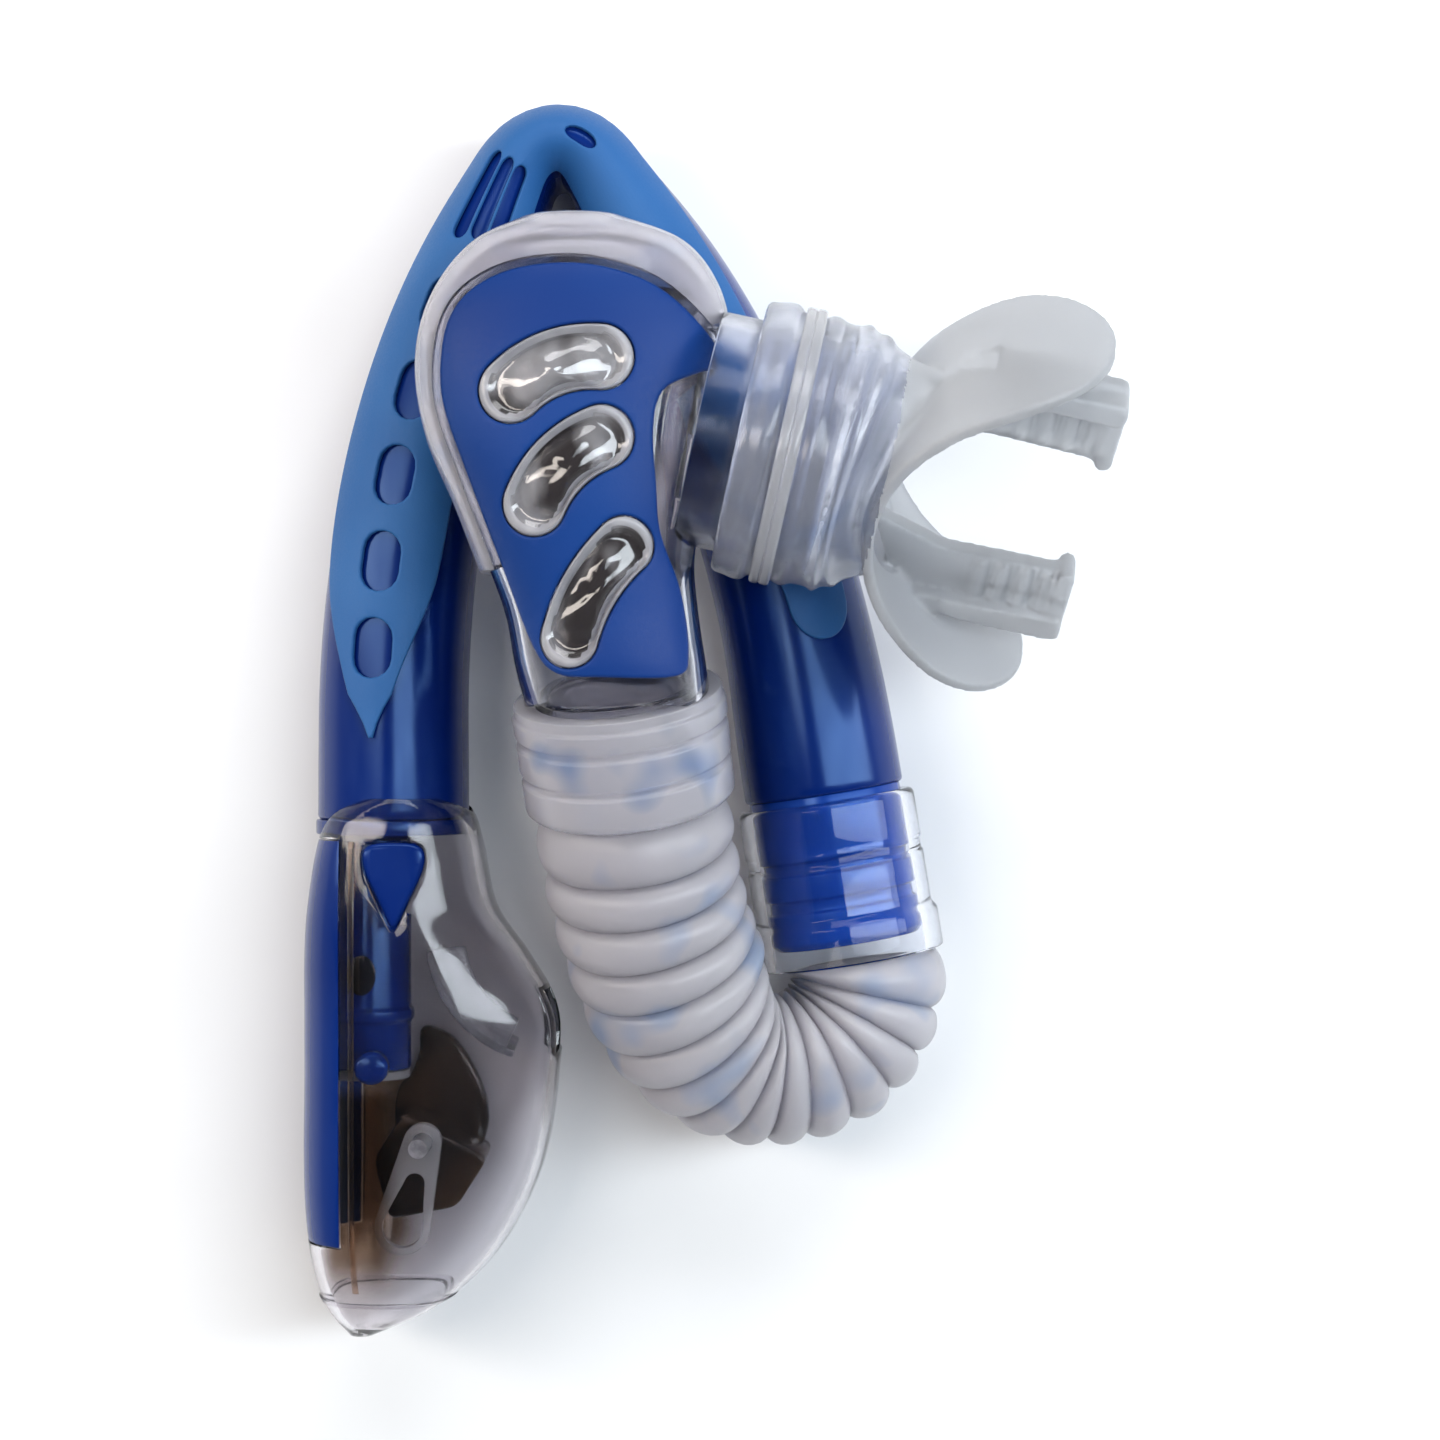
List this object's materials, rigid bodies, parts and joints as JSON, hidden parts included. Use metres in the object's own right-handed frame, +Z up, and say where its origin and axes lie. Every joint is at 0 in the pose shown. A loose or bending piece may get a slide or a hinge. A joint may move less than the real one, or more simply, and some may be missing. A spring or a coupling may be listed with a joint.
{
  "type": "dry-top snorkel",
  "caption": "Dry-top snorkel folded for storage: hairpin soft barrel, float valve under a clear cover, corrugated hose, purge body with blue trim, clear bite mouthpiece.",
  "frame": {"origin": "under the middle of the folded snorkel's bounding box, on the table it lies on", "axes": "+Y along the folded barrel from the dry top towards the fold, +X from the dry top's leg towards the mouthpiece, +Z up off the table"},
  "size_m": [0.1262, 0.1956, 0.081],
  "materials": {
    "barrel_navy": "glossy",
    "spigot_navy": "satin",
    "band_blue": "matte",
    "clear_silicone": "satin",
    "clear_plastic": "polished",
    "insert_blue": "satin",
    "smoky_plastic": "glossy",
    "flap_silicone": "matte",
    "pin_metal": "satin"
  },
  "bodies": {
    "lower_barrel": {"lower_barrel_tube": "barrel_navy", "barrel_bend": "barrel_navy", "band_lower": "band_blue", "band_bend": "band_blue", "hose_spigot": "spigot_navy"},
    "upper_barrel": {"upper_barrel_tube": "barrel_navy", "band_upper": "band_blue", "dry_top_cover": "clear_plastic", "valve_carrier": "barrel_navy", "carrier_shield": "barrel_navy", "round_stud": "barrel_navy", "inlet_louvre": "clear_plastic", "float_pivot_pin": "pin_metal"},
    "release_button": {"spade_button": "barrel_navy"},
    "float_arm": {"float_block": "smoky_plastic", "float_lever": "clear_plastic"},
    "seal_flap": {"seal_flap": "flap_silicone"},
    "hose": {"hose_barrel_cuff": "clear_silicone", "corrugated_hose": "clear_silicone"},
    "purge_body": {"hose_body_cuff": "clear_silicone", "body_spigot": "clear_plastic", "purge_chamber": "clear_plastic", "purge_hood": "clear_silicone", "front_insert": "insert_blue", "rear_insert": "insert_blue", "upper_window": "clear_plastic", "middle_window": "clear_plastic", "lower_window": "clear_plastic", "purge_valve_seat": "clear_plastic", "mouthpiece_socket": "clear_plastic"},
    "purge_flap": {"purge_membrane": "flap_silicone"},
    "mouthpiece": {"mouthpiece_neck": "clear_silicone", "retaining_ring": "clear_plastic", "lip_shield": "clear_silicone", "upper_bite_tab": "clear_silicone", "lower_bite_tab": "clear_silicone"}
  },
  "joints": [
    {"name": "barrel_fold", "type": "hinge", "parent": "lower_barrel", "child": "upper_barrel", "pos_m": [-0.02187, 0.09564, 0.0165], "axis": [0, 0, -1], "range_deg": [0, 110], "deforming": ["barrel_bend", "band_bend"]},
    {"name": "release_press", "type": "slide", "parent": "upper_barrel", "child": "release_button", "axis": [0, 0, -1], "range_m": [0, 0.0012], "stiffness_N_per_m": 300},
    {"name": "float_swing", "type": "hinge", "parent": "upper_barrel", "child": "float_arm", "pos_m": [-0.04357, -0.06636, 0.014], "axis": [0, 0, 1], "range_deg": [0, 12]},
    {"name": "flap_swing", "type": "hinge", "parent": "upper_barrel", "child": "seal_flap", "pos_m": [-0.05857, -0.05626, 0.0165], "axis": [0, 0, -1], "range_deg": [0, 12]},
    {"name": "hose_swivel", "type": "hinge", "parent": "lower_barrel", "child": "hose", "pos_m": [0.02201, -0.02089, 0.0165], "axis": [-0.1599, 0.9871, 0], "range_deg": [0, 80]},
    {"name": "hose_flex", "type": "hinge", "parent": "hose", "child": "purge_body", "pos_m": [-0.00187, -0.03736, 0.024], "axis": [1, 0, 0], "range_deg": [0, 45], "deforming": ["corrugated_hose"]},
    {"name": "mouthpiece_swivel", "type": "hinge", "parent": "purge_body", "child": "mouthpiece", "pos_m": [0.00723, 0.04254, 0.0526], "axis": [0.9763, -0.2164, 0], "range_deg": [-36, 20]},
    {"name": "purge_flap", "type": "hinge", "parent": "purge_body", "child": "purge_flap", "pos_m": [-0.01737, 0.06364, 0.0592], "axis": [1, 0, 0], "range_deg": [0, 14], "stiffness_Nm_per_rad": 0.0005}
  ],
  "couplings": [
    {"joint": "flap_swing", "follows": "float_swing", "ratio": 1}
  ]
}
